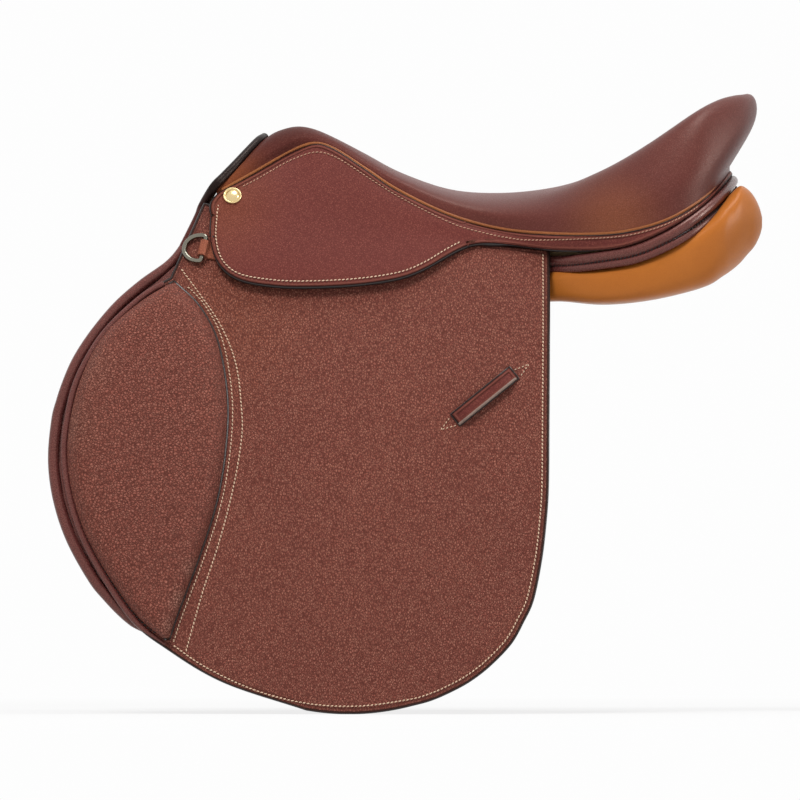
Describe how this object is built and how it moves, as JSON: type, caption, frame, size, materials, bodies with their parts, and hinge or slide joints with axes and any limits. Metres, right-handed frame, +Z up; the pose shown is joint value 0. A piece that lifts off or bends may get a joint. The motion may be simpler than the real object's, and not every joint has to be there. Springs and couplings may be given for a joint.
{
  "type": "pony saddle",
  "caption": "English close-contact saddle for a pony: padded seat on a sprung tree, flaps with knee pads, lifting skirts, stirrup bars, girth straps and flocked panel",
  "frame": {"origin": "on the centre plane at the top of the gullet, where the saddle rests over the pony's back", "axes": "+X to the rear (cantle), -X to the pommel, +Y to the right side, -Y to the left (near) side, +Z up"},
  "size_m": [0.5201, 0.3554, 0.4499],
  "materials": {
    "flap_leather": "satin, fine grain, dark edges",
    "seat_leather": "satin, fine grain",
    "plum_leather": "satin, dark",
    "tan_leather": "smooth, satin",
    "strap_leather": "smooth, satin",
    "webbing": "woven",
    "foam": "open-cell foam",
    "tree_wood": "laminated, bare",
    "steel": "satin",
    "nail_brass": "polished"
  },
  "bodies": {
    "saddle": {"flap_top_left": "flap_leather", "flap_top_right": "flap_leather", "skirt_top_left": "flap_leather", "skirt_top_right": "flap_leather", "d_tab_left": "flap_leather", "d_tab_right": "flap_leather", "seat_cover": "seat_leather", "cantle_binding": "plum_leather", "panel_welt": "plum_leather", "head_facing": "plum_leather", "sweat_flap_left": "plum_leather", "sweat_flap_right": "plum_leather", "front_roll_left": "plum_leather", "front_roll_right": "plum_leather", "seat_piping": "tan_leather", "gullet_lining": "tan_leather", "panel_left": "tan_leather", "panel_right": "tan_leather", "point_pocket_left": "strap_leather", "point_pocket_right": "strap_leather", "strainer_web": "webbing", "girth_web_front": "webbing", "girth_web_middle": "webbing", "girth_web_rear": "webbing", "seat_foam": "foam", "tree_head": "tree_wood", "tree_cantle": "tree_wood", "tree_rail_left": "tree_wood", "tree_rail_right": "tree_wood", "gullet_plate": "steel", "head_plate": "steel", "spring_left": "steel", "spring_right": "steel", "stirrup_bar_left": "steel", "stirrup_bar_right": "steel", "catch_pin_left": "steel", "catch_pin_right": "steel", "saddle_nail_left": "nail_brass", "saddle_nail_right": "nail_brass"},
    "flap_left": {"flap_left": "flap_leather", "flap_edge_left": "plum_leather", "knee_pad_left": "flap_leather", "keeper_left": "flap_leather"},
    "skirt_left": {"skirt_left": "flap_leather"},
    "strap_front_left": {"strap_front_left": "strap_leather"},
    "strap_middle_left": {"strap_middle_left": "strap_leather"},
    "strap_rear_left": {"strap_rear_left": "strap_leather"},
    "bar_catch_left": {"bar_catch_left": "steel"},
    "d_ring_left": {"d_ring_left": "steel"},
    "flap_right": {"flap_right": "flap_leather", "flap_edge_right": "plum_leather", "knee_pad_right": "flap_leather", "keeper_right": "flap_leather"},
    "skirt_right": {"skirt_right": "flap_leather"},
    "strap_front_right": {"strap_front_right": "strap_leather"},
    "strap_middle_right": {"strap_middle_right": "strap_leather"},
    "strap_rear_right": {"strap_rear_right": "strap_leather"},
    "bar_catch_right": {"bar_catch_right": "steel"},
    "d_ring_right": {"d_ring_right": "steel"}
  },
  "joints": [
    {"name": "flap_lift_left", "type": "hinge", "parent": "saddle", "child": "flap_left", "pos_m": [-0.051, -0.09168, -0.02537], "axis": [-0.9903, 0.099, 0.0977], "range_deg": [0, 75]},
    {"name": "skirt_lift_left", "type": "hinge", "parent": "saddle", "child": "skirt_left", "pos_m": [-0.06635, -0.0691, 0.02715], "axis": [-0.9903, 0.099, 0.0977], "range_deg": [0, 60]},
    {"name": "strap_swing_front_left", "type": "hinge", "parent": "saddle", "child": "strap_front_left", "pos_m": [-0.0342, -0.08497, -0.02104], "axis": [-0.0701, -0.9083, 0.4124], "range_deg": [-10, 10]},
    {"name": "strap_swing_middle_left", "type": "hinge", "parent": "saddle", "child": "strap_middle_left", "pos_m": [0.0008, -0.08352, -0.0245], "axis": [-0.0701, -0.9083, 0.4124], "range_deg": [-10, 10]},
    {"name": "strap_swing_rear_left", "type": "hinge", "parent": "saddle", "child": "strap_rear_left", "pos_m": [0.0358, -0.08207, -0.02795], "axis": [-0.0701, -0.9083, 0.4124], "range_deg": [-10, 10]},
    {"name": "catch_tip_left", "type": "hinge", "parent": "saddle", "child": "bar_catch_left", "pos_m": [-0.05635, -0.06296, 0.00804], "axis": [0.0425, 0.8841, -0.4653], "range_deg": [0, 80]},
    {"name": "ring_swing_left", "type": "hinge", "parent": "saddle", "child": "d_ring_left", "pos_m": [-0.1655, -0.07315, 0.01], "axis": [0.2005, 0.4222, 0.884], "range_deg": [0, 100]},
    {"name": "flap_lift_right", "type": "hinge", "parent": "saddle", "child": "flap_right", "pos_m": [-0.051, 0.09168, -0.02537], "axis": [0.9903, 0.099, -0.0977], "range_deg": [0, 75]},
    {"name": "skirt_lift_right", "type": "hinge", "parent": "saddle", "child": "skirt_right", "pos_m": [-0.06635, 0.0691, 0.02715], "axis": [0.9903, 0.099, -0.0977], "range_deg": [0, 60]},
    {"name": "strap_swing_front_right", "type": "hinge", "parent": "saddle", "child": "strap_front_right", "pos_m": [-0.0342, 0.08497, -0.02104], "axis": [-0.0701, 0.9083, 0.4124], "range_deg": [-10, 10]},
    {"name": "strap_swing_middle_right", "type": "hinge", "parent": "saddle", "child": "strap_middle_right", "pos_m": [0.0008, 0.08352, -0.0245], "axis": [-0.0701, 0.9083, 0.4124], "range_deg": [-10, 10]},
    {"name": "strap_swing_rear_right", "type": "hinge", "parent": "saddle", "child": "strap_rear_right", "pos_m": [0.0358, 0.08207, -0.02795], "axis": [-0.0701, 0.9083, 0.4124], "range_deg": [-10, 10]},
    {"name": "catch_tip_right", "type": "hinge", "parent": "saddle", "child": "bar_catch_right", "pos_m": [-0.05635, 0.06296, 0.00804], "axis": [-0.0425, 0.8841, 0.4653], "range_deg": [0, 80]},
    {"name": "ring_swing_right", "type": "hinge", "parent": "saddle", "child": "d_ring_right", "pos_m": [-0.1655, 0.07315, 0.01], "axis": [-0.2005, 0.4222, -0.884], "range_deg": [0, 100]}
  ]
}
